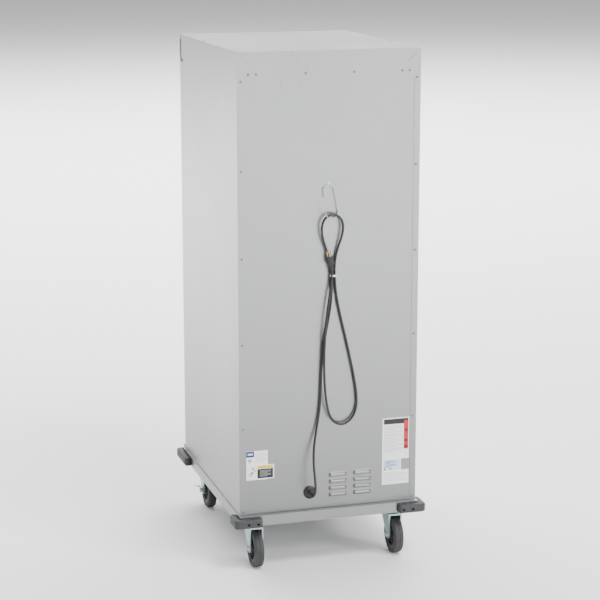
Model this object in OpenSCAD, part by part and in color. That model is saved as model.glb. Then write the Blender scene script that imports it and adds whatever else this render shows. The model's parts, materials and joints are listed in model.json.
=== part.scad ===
// Proofing cabinet on casters: a stainless wrap body on a base frame with corner bumpers,
// a clear-panelled door at the front, a heat and humidity module at the bottom inside,
// pan slides on both sides, and the mains cord stowed on a hook at the rear.
// Millimetres, +Z up. The origin is on the floor, midway between the bumpers.
// The door is at the front, -Y. The louvres and the cord are at the rear, +Y.

/* [Body] */
// Width of the wrap body, across X
body_w = 620; // [600:5:700]
// Depth of the wrap body, along Y
body_d = 790; // [770:5:860]
// Height of the wrap body above the base frame
body_h = 1535; // [1500:5:1700]
// Thickness of the body's sheet steel
sheet = 1.2; // [1:0.1:1.5]
// Thickness of the insulated walls, outside to inside
wall = 26; // [24:1:30]
// Height of the top panel's rear flange
flange_h = 80; // [70:1:90]

/* [Base and bumpers] */
// Height of the base frame
base_h = 35; // [30:1:50]
// How far the base stands out past the body at each side
base_side = 4; // [2:1:10]
// How far the base stands out past the body at the front and the rear
base_end = 20; // [15:1:30]
// How far a bumper stands out from the base
bumper_out = 22; // [18:1:25]
// Height of a bumper
bumper_h = 30; // [24:1:30]

/* [Casters] */
// Wheel diameter
wheel_d = 127; // [100:1:130]
// Tyre width
tyre_w = 32; // [28:1:34]
// Overall height of a caster, floor to the top of its plate
caster_h = 160; // [158:1:170]
// Swivel axis to wheel axle, level
caster_trail = 36; // [30:1:40]

/* [Door] */
// Gap between the door's edge and the body's side
door_inset = 14; // [12:1:20]
// Door thickness
door_t = 32; // [30:1:36]
// Width of the door's stiles
stile_w = 45; // [42:1:60]

/* [Pan slides] */
// Levels of pan slides
slide_levels = 16; // [8:1:16]
// Distance between levels
slide_pitch = 74; // [38:1:74]
// Width of the pan that the slides carry
pan_w = 457; // [440:1:460]

/* [Cord] */
// Diameter of the mains cord
cord_d = 8; // [7:0.5:8.5]

/* [Hidden] */
$fn = 48;

// Levels and faces of the body
side_x = body_w / 2;
end_y = body_d / 2;
base_z = caster_h;
body_z = base_z + base_h;
top_z = body_z + body_h;
eps = 0.2;                          // gap between sheets that meet
cut = 1;                            // how far a cutting solid runs past a face
rear_y = end_y - sheet - eps;       // outer face of the rear panel
return_w = 21.5;                    // width of the side panels' front and rear returns
tab_w = 45;                         // width of the side panels' top tabs at the rear
mitre_h = 42;                       // height of the mitred corner of the rear flange

// Front: fascia over the door
fascia_h = 71;
lip_h = 14;                         // front lip of the top panel
fascia_z = top_z - lip_h - fascia_h;
fascia_d = 22;
toe_l = 24;                         // the fascia end's toe, under the notch
toe_h = 10;
toe_lap = 2;                        // how far the toe reaches up beside the fascia

// Front frame round the door opening
frame_d = 24;
opening_x = side_x - 40;
opening_lo = body_z + 50;
opening_hi = fascia_z - 45;

// Inner liner
liner_x = side_x - wall;
liner_rear = end_y - wall;
liner_front = -end_y + frame_d + eps;
liner_floor = body_z + 28;
liner_top = opening_hi + 2;

// Heat module on the liner's floor
module_x = 270;
module_front = -335;
module_z = liner_floor + sheet;
module_h = 120;
deck_z = module_z + module_h;
bulkhead_y = 300;
well_lip = 12;
well_x = 165;
well_y = [-315, -55];

// Blower, on an axis along Y
blower_z = module_z + 62;
blower_r = 48;
blower_y = [252, 290];
duct_x = 150;
duct_front = 318;
duct_foot_h = 40;

// Door and its hinge
door_front = -end_y - 2 - door_t;
door_rear = -end_y - 2;
door_x = side_x - door_inset;
door_lo = body_z + 12;
door_hi = fascia_z - 12;
rail_w = 52;
hinge = [door_x - 8, -end_y - 20];
hinge_pin_r = 4;
pane_t = 5;
pane_grip = 7;
gasket_w = 12;
gasket_t = 1.7;
catch_z = [body_z + 300, body_z + 1100];

// Racks
slide_first = deck_z + 45;
guide_x = pan_w / 2 + 3.5;          // upright leg of a slide, beside the pan
ledge_w = 15;
upright_y = [-240, 215];
slide_y = [-355, 300];

// Casters
wheel_r = wheel_d / 2;
caster_x = 247;
caster_y = 325;
plate_t = 4;
head_z = caster_h - plate_t - 10.3; // top of the swivel head
crown_z = head_z - 11.7;            // underside of the fork's crown
arm_in = 19;
arm_t = 4.5;
axle_r = 5;
kingpin_r = 6;

// Bumpers: how far each leg reaches from the base's corner
rear_legs = [75, 60];
front_legs = [60, 128];

// Mains cord: strain relief, then the route from its mouth to the plug
gland = [66, 254];
boot_y = rear_y + 24;
cord_r = cord_d / 2;
route = [
    [66, boot_y, 254], [66, 430, 254], [66, 455, 264], [67, 466, 291], [68, 459, 325],
    [67, 439, 365], [60, 418, 420], [45, 403, 480], [33, 402, 550], [31, 402, 640],
    [26, 402, 730], [11, 402, 820], [-7, 401, 910], [-6, 401, 990], [4, 401, 1050],
    [18, 406, 1095], [31, 410, 1130], [33, 413, 1164], [22, 414, 1191], [-5, 413, 1202],
    [-32, 412, 1191], [-43, 411, 1164], [-40, 410, 1130], [-28, 405, 1095], [-16, 401, 1050],
    [-15, 401, 990], [-23, 402, 910], [-48, 402, 810], [-74, 402, 700], [-92, 402, 610],
    [-98, 402, 545], [-80, 404, 500], [-42, 407, 480], [-4, 411, 500], [14, 415, 550],
    [24, 417, 640], [24, 416, 740], [18, 415, 840], [5, 413, 930], [-5, 412, 980],
    [-3, 414, 1016]
];
plug_foot = [-3, 414, 1016];
plug_tilt = 10;
tie_z = 997;
tie_strands = [[-3.3, 401], [-16.3, 401], [-3.6, 413.1]];

// Hook: a bent wire under one screw
wire_r = 2;
hook_screw = [4, 1298];
hook_route = [
    [21, 396, 1255], [23, 396, 1270], [26, 396, 1285], [15, 396, 1288], [4, 396, 1292],
    [-10, 396, 1288], [-13, 396, 1270], [-20, 396, 1235], [-27, 396, 1202], [-24, 400, 1194],
    [-14, 407, 1191], [-4, 414, 1191], [8, 422, 1192], [20, 431, 1193], [24, 434, 1205],
    [25, 434, 1218]
];

// Smooth route guided by the points: a cubic B-spline that starts at the first point and
// ends at the last, with "steps" rings to each span
function spline(a, b, c, d, t) =
    ((a + 4 * b + c) + 3 * (c - a) * t + 3 * (a - 2 * b + c) * t * t
        + (3 * b - a - 3 * c + d) * t * t * t) / 6;
function unit(v) = v / norm(v);
function smooth(points, steps) =
    let (
        last = len(points) - 1,
        led = concat(
            [2 * points[0] - points[1]], points, [2 * points[last] - points[last - 1]]
        )
    )
    concat(
        [
            for (i = [0 : last - 1], k = [0 : steps - 1])
                spline(led[i], led[i + 1], led[i + 2], led[i + 3], k / steps)
        ],
        [points[last]]
    );
function tangents(points) =
    let (last = len(points) - 1)
    [for (i = [0 : last]) unit(points[min(i + 1, last)] - points[max(i - 1, 0)])];
// Frames carried along the route without twist
function carried(tangent, i, side) =
    i >= len(tangent) ? [] :
    let (n = unit(side - (side * tangent[i]) * tangent[i]))
    concat([n], carried(tangent, i + 1, n));

module sweep(points, r, sides) {
    tangent = tangents(points);
    normal = carried(tangent, 0, [1, 0, 0.1]);
    rings = len(points);
    corners = [
        for (i = [0 : rings - 1], k = [0 : sides - 1])
            let (a = 360 * k / sides)
            points[i] + r * (cos(a) * normal[i] + sin(a) * cross(tangent[i], normal[i]))
    ];
    walls = [
        for (i = [0 : rings - 2], k = [0 : sides - 1])
            let (n = (k + 1) % sides)
            [i * sides + k, i * sides + n, (i + 1) * sides + n, (i + 1) * sides + k]
    ];
    first = [for (k = [0 : sides - 1]) sides - 1 - k];
    last = [for (k = [0 : sides - 1]) (rings - 1) * sides + k];
    polyhedron(corners, concat([first], walls, [last]), convexity = 10);
}

// Box from its low corner to its high corner
module box(lo, hi) {
    translate(lo)
    cube(hi - lo);
}

// Round bar or hole along an axis, from one end for a length
module along_x(p, r, length) {
    translate(p)
    rotate([0, 90, 0])
    cylinder(h = length, r = r);
}

module along_y(p, r, length) {
    translate(p)
    rotate([-90, 0, 0])
    cylinder(h = length, r = r);
}

module mirrored_x() {
    children();
    mirror([1, 0, 0])
    children();
}

// ---- Base and shell ----

module base_frame() {
    bx = side_x + base_side;
    by = end_y + base_end;
    t = 3;
    flange = 55;
    color("silver")
    difference() {
        box([-bx, -by, base_z], [bx, by, body_z]);
        box([-bx + t, -by + t, base_z + t], [bx - t, by - t, body_z - t]);
        difference() {
            box([-bx + flange, -by + flange, base_z - cut], [bx - flange, by - flange, base_z + 2 * t]);
            for (sx = [-1, 1], sy = [-1, 1])
                translate([sx * caster_x, sy * caster_y, base_z])
                cube([124, 124, 4 * t], center = true);
        }
        at_caster_bolts(base_z - cut)
        cylinder(h = 3 * t, r = 4.5, $fn = 24);
    }
}

// The four bolt places of every caster plate
module at_caster_bolts(z) {
    for (sx = [-1, 1], sy = [-1, 1], bx = [-38, 38], by = [-32, 32])
        translate([sx * caster_x + bx, sy * caster_y + by, z])
        children();
}

module side_panel_right() {
    color("silver")
    difference() {
        union() {
            box([side_x - sheet, -end_y, body_z + eps], [side_x, end_y, top_z - sheet - eps]);
            // top return, under the top panel
            box(
                [side_x - return_w, -end_y + fascia_d, top_z - 2 * sheet - eps],
                [side_x, end_y - 3 * sheet, top_z - sheet - eps]
            );
            // front and rear returns
            box(
                [side_x - return_w, -end_y, body_z + eps],
                [side_x, -end_y + sheet, fascia_z - toe_h]
            );
            box([side_x - return_w, end_y - sheet, body_z + eps], [side_x, end_y, fascia_z]);
            side_tab();
        }
        // notch for the end of the control fascia and its toe
        box(
            [side_x - 2 * return_w, -end_y - cut, fascia_z - eps],
            [side_x + cut, -end_y + fascia_d + eps, top_z - lip_h]
        );
        box(
            [side_x - return_w / 2, -end_y - cut, fascia_z - toe_h - eps],
            [side_x + cut, -end_y + fascia_d + toe_l + eps, fascia_z + toe_lap + eps]
        );
        // room for the front lip of the top panel
        box(
            [side_x - 2 * return_w, -end_y - cut, top_z - lip_h - cut],
            [side_x + cut, -end_y + sheet + eps, top_z]
        );
    }
}

// The corner tab beside the top panel's rear flange, cut to a mitre
module side_tab() {
    low = top_z - flange_h - 6;
    translate([0, end_y, 0])
    rotate([90, 0, 0])
    linear_extrude(height = sheet)
    polygon([
        [side_x - return_w, low], [side_x, low], [side_x, top_z - sheet - eps],
        [side_x - 2 * sheet, top_z - 2 * sheet - eps], [side_x - tab_w, top_z - mitre_h - sheet],
        [side_x - tab_w, low]
    ]);
}

module side_panel_left() {
    mirror([1, 0, 0])
    side_panel_right();
}

module top_panel() {
    flange_x = side_x - tab_w - eps;
    color("silver") {
        box([-side_x, -end_y, top_z - sheet], [side_x, end_y, top_z]);
        box([-side_x, -end_y, top_z - lip_h], [side_x, -end_y + sheet, top_z - sheet / 2]);
        translate([0, end_y, 0])
        rotate([90, 0, 0])
        linear_extrude(height = sheet)
        polygon([
            [-side_x, top_z], [-flange_x, top_z - mitre_h], [-flange_x, top_z - flange_h],
            [flange_x, top_z - flange_h], [flange_x, top_z - mitre_h], [side_x, top_z]
        ]);
    }
}

// Rear panel, with two columns of pressed louvres
louvre_columns = [-118, -32];
louvre_rows = [239, 262, 285, 308];
louvre_l = 66;
louvre_r = 9;

module capsule(r, length) {
    end = length / 2 - r;
    along_x([-end, 0, 0], r, 2 * end);
    for (s = [-1, 1])
        translate([s * end, 0, 0])
        sphere(r = r);
}

module louvre_hood() {
    intersection() {
        difference() {
            capsule(louvre_r, louvre_l);
            capsule(louvre_r - sheet, louvre_l - 2 * sheet);
        }
        box([-louvre_l, -sheet / 2, -6], [louvre_l, 2 * louvre_r, 2 * louvre_r]);
    }
}

module at_louvres() {
    for (x = louvre_columns, z = louvre_rows)
        translate([x, rear_y, z - 1])
        children();
}

module rear_panel() {
    edge = side_x - 10;
    color("gainsboro") {
        difference() {
            box([-edge, rear_y - sheet, body_z + 1], [edge, rear_y, top_z - flange_h + 12]);
            at_louvres()
            box([-louvre_l / 2 + 8, -2 * sheet, -6 - sheet], [louvre_l / 2 - 8, sheet, 2]);
            along_y([gland[0], rear_y - 2 * sheet, gland[1]], 11, 3 * sheet);
        }
        at_louvres()
        louvre_hood();
    }
}

// Face frame round the door opening: a folded channel, open towards the rear
module front_frame() {
    outer = side_x - return_w - eps;
    front = -end_y;
    color("silver")
    difference() {
        box([-outer, front, body_z + eps], [outer, front + frame_d, fascia_z - eps]);
        box(
            [-opening_x, front - cut, opening_lo],
            [opening_x, front + frame_d + cut, opening_hi]
        );
        difference() {
            box(
                [-outer + 2, front + 2, body_z + 2],
                [outer - 2, front + frame_d + cut, fascia_z - 2]
            );
            box(
                [-opening_x - 2, front, opening_lo - 2],
                [opening_x + 2, front + frame_d, opening_hi + 2]
            );
        }
    }
}

// The inner walls: two sides, rear, ceiling and floor
module liner_panels() {
    rear_low = deck_z + 5;
    color("lightgray") {
        mirrored_x()
        box([liner_x, liner_front, liner_floor], [liner_x + sheet, liner_rear, liner_top]);
        box([-liner_x + eps, liner_rear - sheet, rear_low], [liner_x - eps, liner_rear, liner_top]);
        box(
            [-liner_x + eps, liner_front, liner_top - sheet],
            [liner_x - eps, liner_rear - sheet - eps, liner_top]
        );
        box(
            [-liner_x + eps, liner_front, liner_floor],
            [liner_x - eps, rear_y - 3 * sheet, liner_floor + sheet]
        );
    }
}

// Rigid boards that fill the walls
module insulation_boards() {
    inner = liner_x + sheet + eps;
    outer = side_x - sheet - eps;
    front = -end_y + frame_d + eps;
    color("khaki") {
        mirrored_x()
        box([inner, front, body_z + 1], [outer, rear_y - 3 * sheet, liner_top]);
        box(
            [-liner_x, liner_rear + eps, deck_z + 5],
            [liner_x, rear_y - sheet - eps, liner_top]
        );
        box([-liner_x, front, liner_top + eps], [liner_x, liner_rear, liner_top + 22]);
        box([-liner_x, front, body_z + 1], [liner_x, rear_y - 3 * sheet, liner_floor - eps]);
    }
}

// ---- Heat and humidity module ----

// A tray with two partitions, open at the rear, under a deck with the water well
module heater_module() {
    rear = rear_y - 3 * sheet;
    lid_z = deck_z - sheet;
    partition_y = well_y[1] + 15;
    color("silver") {
        difference() {
            box([-module_x, module_front, module_z], [module_x, rear, lid_z - eps]);
            for (y = [
                [module_front + sheet, partition_y],
                [partition_y + sheet, bulkhead_y],
                [bulkhead_y + sheet, rear + cut]
            ])
                box([-module_x + sheet, y[0], module_z + sheet], [module_x - sheet, y[1], deck_z]);
            along_y([0, bulkhead_y - cut, blower_z], 8, 4);
        }
        difference() {
            box([-module_x, module_front, lid_z], [module_x, rear, deck_z]);
            box([-well_x, well_y[0], lid_z - cut], [well_x, well_y[1], deck_z + cut]);
            // air intake slots, and the blower's outlet
            for (s = [-1, 1], x = [112 : 20 : 232])
                box([s * (x + 4) - 4, 0, lid_z - cut], [s * (x + 4) + 4, 180, deck_z + cut]);
            box(
                [-blower_r - 6, blower_y[0] - 5, lid_z - cut],
                [blower_r + 6, blower_y[1] + 5, deck_z + cut]
            );
        }
    }
}

// Serpentine tube in a level plane: straight runs along X joined by half rings
module serpentine(runs, half, pitch, r) {
    for (i = [0 : runs - 1])
        along_x([-half, i * pitch, 0], r, 2 * half);
    for (i = [0 : runs - 2])
        translate([(i % 2 == 0 ? 1 : -1) * half, (i + 0.5) * pitch, 0])
        rotate([0, 0, i % 2 == 0 ? -90 : 90])
        rotate_extrude(angle = 180)
        translate([pitch / 2, 0])
        circle(r = r);
}

module heating_elements() {
    color("dimgray") {
        translate([0, 20, module_z + 30])
        serpentine(6, 200, 32, 4);
        translate([0, -285, module_z + 14])
        serpentine(5, 130, 44, 4);
    }
}

module blower_motor() {
    color("slategray") {
        along_y([0, bulkhead_y + sheet, blower_z], 34, 62);
        along_y([0, blower_y[1] - 34, blower_z], 3, 46);
    }
}

module blower_scroll() {
    x = blower_r + 5;
    y = [blower_y[0] - 4, blower_y[1] + 6];
    color("silver")
    difference() {
        union() {
            along_y([0, y[0], blower_z], x, y[1] - y[0]);
            box([-x, y[0], blower_z], [x, y[1], deck_z - sheet - eps]);
        }
        along_y([0, y[0] + sheet, blower_z], x - sheet, y[1] - y[0] - 2 * sheet);
        box([-x + sheet, y[0] + sheet, blower_z], [x - sheet, y[1] - sheet, deck_z + cut]);
        along_y([0, y[0] - cut, blower_z], 30, 3);
        along_y([0, y[1] - 2, blower_z], 8, 4);
    }
}

module blower_wheel() {
    blades = 24;
    width = blower_y[1] - blower_y[0];
    color("gray")
    translate([0, blower_y[0], blower_z])
    rotate([-90, 0, 0])
    difference() {
        union() {
            translate([0, 0, width - 2])
            cylinder(h = 2, r = blower_r - 4);
            difference() {
                cylinder(h = 2, r = blower_r - 4);
                translate([0, 0, -cut])
                cylinder(h = 4, r = blower_r - 16);
            }
            for (i = [0 : blades - 1])
                rotate([0, 0, i * 360 / blades])
                translate([blower_r - 16, -0.6, 0])
                rotate([0, 0, 20])
                cube([11, 1.2, width - 1]);
            translate([0, 0, width - 16])
            cylinder(h = 16, r = 8);
        }
        translate([0, 0, -cut])
        cylinder(h = width + 2 * cut, r = 3.05);
    }
}

// Upright duct on the rear liner: its foot reaches forward over the blower's outlet.
// A bent cover runs between two flat side plates.
module air_duct() {
    rear = liner_rear - sheet - eps;
    cover_x = duct_x - sheet - eps;
    color("lightgray") {
        difference() {
            across_x(-cover_x, cover_x)
            difference() {
                duct_outline(0, rear, deck_z + eps);
                duct_outline(sheet, rear + cut, deck_z - cut);
            }
            for (z = [deck_z + 110 : slide_pitch : liner_top - 50], sx = [-1, 1])
                box([sx * 80 - 45, duct_front - cut, z], [sx * 80 + 45, duct_front + 3, z + 8]);
        }
        for (x = [-duct_x, duct_x - sheet])
            across_x(x, x + sheet)
            duct_outline(0, rear, deck_z + eps);
    }
}

// The duct's side outline, as [-y, z], drawn in from its foot, front and top by "inset"
module duct_outline(inset, rear, floor) {
    foot = blower_y[0] - 10 + inset;
    foot_z = deck_z + duct_foot_h - inset;
    front = duct_front + inset;
    top = liner_top - 30 - inset;
    polygon([
        [-rear, floor], [-foot, floor], [-foot, foot_z], [-front, foot_z], [-front, top], [-rear, top]
    ]);
}

// Extrudes an outline drawn as [-y, z] from one x to another
module across_x(x0, x1) {
    translate([x1, 0, 0])
    rotate([90, 0, -90])
    linear_extrude(height = x1 - x0)
    children();
}

// Water pan that drops into the deck's well and lifts straight out
module water_pan() {
    gap = 1;
    lip = well_lip;
    depth = 60;
    lo = [-well_x + gap, well_y[0] + gap, deck_z - depth];
    hi = [well_x - gap, well_y[1] - gap, deck_z + 1.5];
    color("silver")
    difference() {
        union() {
            box(lo, hi);
            box(
                [lo[0] - lip, lo[1] - lip, deck_z + 0.3],
                [hi[0] + lip, hi[1] + lip, deck_z + 1.5]
            );
        }
        box([lo[0] + 1, lo[1] + 1, lo[2] + 1], [hi[0] - 1, hi[1] - 1, hi[2] + cut]);
    }
}

// Terminal block and contactor in the rear bay, control board behind the fascia
module electrical_parts() {
    floor_z = module_z + sheet;
    board_y = -end_y + 36;
    color("darkseagreen") {
        box([60, 330, floor_z], [150, 370, floor_z + 30]);
        box([-190, 325, floor_z], [-120, 375, floor_z + 62]);
        difference() {
            union() {
                box([-215, board_y, fascia_z + 8], [215, board_y + 2, fascia_z + 62]);
                for (x = knob_x)
                    along_y([x, board_y - 21, control_z], 10, 21);
            }
            for (x = knob_x)
                along_y([x, board_y - 22, control_z], 3.06, 12);
        }
        box(
            [rocker_x - 9, -end_y + 17, control_z - 11],
            [rocker_x + 9, board_y, control_z + 11]
        );
        for (x = [-110, 0])
            box([x - 14, board_y + 2, control_z - 14], [x + 14, board_y + 20, control_z + 14]);
    }
}

// ---- Control fascia ----

knob_x = [90, 170];
rocker_x = -190;
lens_x = [-40, -100, -130];
control_z = fascia_z + fascia_h / 2;
rocker_r = 13;
rocker_y = -end_y + 8;

module control_fascia() {
    x = side_x;
    color("black")
    difference() {
        union() {
            box([-x, -end_y, fascia_z + eps], [x, -end_y + 3, fascia_z + fascia_h - eps]);
            mirrored_x() {
                box(
                    [x - 3, -end_y, fascia_z + eps],
                    [x, -end_y + fascia_d, fascia_z + fascia_h - eps]
                );
                box(
                    [x - 3, -end_y + 4, fascia_z - toe_h],
                    [x, -end_y + fascia_d + toe_l, fascia_z + toe_lap]
                );
            }
        }
        for (kx = knob_x)
            along_y([kx, -end_y - cut, control_z], 3.06, 6);
        box(
            [rocker_x - 9, -end_y - cut, control_z - 12],
            [rocker_x + 9, -end_y + 4, control_z + 12]
        );
        box([lens_x[0] - 30, -end_y - cut, control_z - 14], [lens_x[0] + 30, -end_y + 4, control_z + 14]);
        for (x = [lens_x[1], lens_x[2]])
            along_y([x, -end_y - cut, control_z], 4, 6);
    }
}

// Display window and two lamp lenses, set in the fascia
module indicator_lenses() {
    color("darkred") {
        box(
            [lens_x[0] - 30, -end_y - 0.6, control_z - 14],
            [lens_x[0] + 30, -end_y + 3, control_z + 14]
        );
        for (x = [lens_x[1], lens_x[2]])
            along_y([x, -end_y - 2, control_z], 4, 5);
    }
}

module knob(x) {
    y = -end_y;
    grip_l = 14;
    color("dimgray")
    difference() {
        union() {
            along_y([x, y - 4, control_z], 19, 3.5);
            along_y([x, y - 4 - grip_l, control_z], 13, grip_l);
            along_y([x, y - 0.5, control_z], 3, 20);
        }
        // the grip's flats
        for (s = [-1, 1])
            translate([x + s * 12, y - 4 - grip_l / 2, control_z])
            cube([8, grip_l, 40], center = true);
    }
}

module temperature_knob() {
    knob(knob_x[0]);
}

module humidity_knob() {
    knob(knob_x[1]);
}

// Rocker: a drum cut to two faces, so that it turns within its own circle
module power_rocker() {
    face = 9.2;
    tilt = 10;
    color("darkred")
    difference() {
        along_x([rocker_x - 8.5, rocker_y, control_z], rocker_r - 2, 17);
        translate([rocker_x, rocker_y, control_z])
        rotate([-tilt, 0, 0]) {
            for (a = [-tilt, tilt])
                rotate([a, 0, 0])
                box([-10, -2 * rocker_r, -2 * rocker_r], [10, -face, 2 * rocker_r]);
            box([-10, 2, -2 * rocker_r], [10, 2 * rocker_r, 2 * rocker_r]);
        }
    }
}

// ---- Door ----

module door_frame() {
    inner_x = door_x - stile_w;
    lo = door_lo + rail_w + 3;
    hi = door_hi - rail_w;
    color("silver")
    difference() {
        box([-door_x, door_front, door_lo], [door_x, door_rear, door_hi]);
        box([-inner_x, door_front - cut, lo], [inner_x, door_rear + cut, hi]);
        pane_space();
        pull_pocket();
        for (z = [door_lo - cut, door_hi - 24])
            translate([hinge[0], hinge[1], z])
            cylinder(h = 24 + cut, r = 7);
    }
}

pane_y = door_front + 13.5;

module pane_space() {
    x = door_x - stile_w + pane_grip;
    box(
        [-x, pane_y, door_lo + rail_w + 3 - pane_grip],
        [x, pane_y + pane_t, door_hi - rail_w + pane_grip]
    );
}

module door_window() {
    color("lightcyan", 0.4)
    pane_space();
}

module door_gasket() {
    outer = door_x - 8;
    inner = outer - gasket_w;
    lo = door_lo + 6;
    hi = door_hi - 6;
    color("black")
    difference() {
        box([-outer, door_rear, lo], [outer, door_rear + gasket_t, hi]);
        box(
            [-inner, door_rear - cut, lo + gasket_w],
            [inner, door_rear + gasket_t + cut, hi - gasket_w]
        );
    }
}

// Recessed pull in the free stile
pull_x = -door_x + stile_w / 2;
pull_z = body_z + 800;
pull_h = 170;
pull_w = 28;
pull_d = 18;

module pull_pocket() {
    box(
        [pull_x - pull_w / 2, door_front - cut, pull_z - pull_h / 2],
        [pull_x + pull_w / 2, door_front + pull_d, pull_z + pull_h / 2]
    );
}

module door_pull() {
    rim = 5;
    wall_t = 2;
    x = pull_w / 2;
    z = pull_h / 2;
    color("black")
    difference() {
        union() {
            box(
                [pull_x - x, door_front, pull_z - z],
                [pull_x + x, door_front + pull_d, pull_z + z]
            );
            box(
                [pull_x - x - rim, door_front - 3, pull_z - z - rim],
                [pull_x + x + rim, door_front, pull_z + z + rim]
            );
        }
        box(
            [pull_x - x + wall_t, door_front - 4, pull_z - z + wall_t],
            [pull_x + x - wall_t, door_front + pull_d - wall_t, pull_z + z - wall_t]
        );
    }
}

// Brackets on the body that carry the hinge pins, under and over the door
bracket_t = 8.5;

module hinge_brackets() {
    front = hinge[1] - 14;
    color("black")
    difference() {
        union() {
            box([hinge[0] - 18, front, body_z], [side_x - 3, -end_y - 0.2, body_z + bracket_t]);
            box([hinge[0] - 22, front, fascia_z - bracket_t], [hinge[0] + 10, -end_y - 0.2, fascia_z]);
        }
        for (z = [body_z - cut, fascia_z - bracket_t - cut])
            translate([hinge[0], hinge[1], z])
            cylinder(h = bracket_t + 2 * cut, r = hinge_pin_r);
    }
}

module hinge_pins() {
    reach = 20;
    color("gray") {
        translate([hinge[0], hinge[1], body_z + 2])
        cylinder(h = door_lo + reach - body_z - 2, r = hinge_pin_r);
        translate([hinge[0], hinge[1], door_hi - reach])
        cylinder(h = fascia_z - door_hi + reach, r = hinge_pin_r);
    }
}

// Flanged bushes pressed into the door, turning on the pins
module hinge_bushes() {
    color("white")
    for (low = [true, false])
        translate([hinge[0], hinge[1], low ? door_lo : door_hi])
        mirror([0, 0, low ? 0 : 1])
        difference() {
            union() {
                cylinder(h = 22, r = 7);
                translate([0, 0, -3])
                cylinder(h = 3, r = 7.5);
            }
            translate([0, 0, -2 * cut - 2])
            cylinder(h = 30, r = hinge_pin_r + 0.06);
        }
}

module magnet_catches() {
    color("black")
    for (z = catch_z)
        box([-opening_x, -end_y + 0.5, z - 28], [-opening_x + 17, -end_y + 20, z + 28]);
}

module catch_plates() {
    color("gray")
    for (z = catch_z)
        box([-opening_x + 1, door_rear, z - 26], [-opening_x + 16, door_rear + 1.2, z + 26]);
}

// ---- Racks ----

module rack_uprights() {
    low = deck_z - 90;
    high = slide_first + slide_levels * slide_pitch - 20;
    color("silver")
    mirrored_x()
    for (y = upright_y)
        box([guide_x + 2, y, low + 94], [liner_x - eps, y + 25, high]);
}

// One angle per level on each side: a ledge under the pan and a leg beside it
module pan_slides() {
    color("lightgray")
    mirrored_x()
    for (i = [0 : slide_levels - 1])
        translate([0, 0, slide_first + i * slide_pitch]) {
            box([guide_x, slide_y[0], 0], [guide_x + 1.8, slide_y[1], 22]);
            box([guide_x - ledge_w, slide_y[0], 0], [guide_x + 1.8, slide_y[1], 1.8]);
        }
}

// ---- Fasteners, labels and bumpers ----

module rivet_head() {
    intersection() {
        translate([0, 0, -3.5])
        sphere(r = 5.2, $fn = 24);
        cylinder(h = 4, r = 5, $fn = 24);
    }
}

strip_pitch = 286;
strip_first = 10.5;

module body_fasteners() {
    color("gray") {
        // rear returns, the rear flange and its tabs
        for (s = [-1, 1]) {
            for (i = [0 : 5])
                translate([s * (side_x - 13), end_y, body_z + strip_first + i * strip_pitch])
                rotate([-90, 0, 0])
                rivet_head();
            for (x = [82, 246, 271.5])
                translate([s * x, end_y, top_z - flange_h + 8])
                rotate([-90, 0, 0])
                rivet_head();
            for (y = [-290 : 210 : 340])
                translate([s * (side_x - 12), y, top_z])
                rivet_head();
        }
        caster_bolts();
        // screw of the cord hook, and the screws of the bumpers
        along_y([hook_screw[0], rear_y, hook_screw[1]], 4.5, 3.5);
        for (sx = [-1, 1]) {
            for (x = [25, 58])
                along_y([sx * (side_x + base_side - x), end_y + base_end + 1, bumper_mid], 3.5, 15);
            for (x = [20, 45])
                along_y([sx * (side_x + base_side - x), -end_y - base_end - 16, bumper_mid], 3.5, 15);
            for (y = [395, 365])
                bumper_side_screw(sx, y);
            for (y = [-395, -310])
                bumper_side_screw(sx, y);
        }
    }
}

bumper_z = base_z;
bumper_mid = bumper_z + bumper_h / 2 - 2;

module bumper_side_screw(sx, y) {
    x = side_x + base_side + 1;
    along_x([sx > 0 ? x : -x - 15, y, bumper_mid], 3.5, 15);
}

// Two thin plates on the rear panel: a tall one and a small one
module label_plates() {
    color("whitesmoke") {
        box([-286, rear_y, 255], [-190, rear_y + 0.4, 489]);
        box([212, rear_y, 314], [286, rear_y + 0.4, 415]);
    }
}

// An L round one corner of the base, from legs = [along X, along Y]
module bumper(legs) {
    r = 14;
    out = bumper_out;
    translate([0, 0, bumper_z])
    difference() {
        linear_extrude(height = bumper_h)
        difference() {
            union() {
                translate([-legs[0] + r, -cut])
                square([legs[0] + out - 2 * r, out + cut]);
                translate([-cut, -legs[1] + r])
                square([out + cut, legs[1] + out - 2 * r]);
                translate([out - r, out - r])
                circle(r = r);
                translate([-legs[0] + r, out - r])
                circle(r = r);
                translate([-legs[0], -cut])
                square([r, out - r + cut]);
                translate([out - r, -legs[1] + r])
                circle(r = r);
                translate([-cut, -legs[1]])
                square([out - r + cut, r]);
            }
            translate([-200, -200])
            square([200, 200]);
        }
    }
}

module corner_bumpers() {
    bx = side_x + base_side;
    by = end_y + base_end;
    color("dimgray")
    difference() {
        for (sx = [-1, 1], sy = [-1, 1])
            mirror([sx > 0 ? 0 : 1, 0, 0])
            mirror([0, sy > 0 ? 0 : 1, 0])
            translate([bx, by, 0])
            bumper(sy > 0 ? rear_legs : front_legs);
        // screw recesses, on both faces of each corner
        for (sx = [-1, 1]) {
            for (x = [25, 58])
                along_y([sx * (bx - x), by + 0.6, bumper_mid], 4, 40);
            for (x = [20, 45])
                along_y([sx * (bx - x), -by - 40.6, bumper_mid], 4, 40);
            for (y = [395, 365, -395, -310])
                along_x([sx > 0 ? bx + 0.6 : -bx - 40.6, y, bumper_mid], 4, 40);
        }
    }
}

// ---- Cord and hook ----

module cord_hook() {
    color("silver")
    sweep(smooth(hook_route, 3), wire_r, 10);
}

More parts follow.
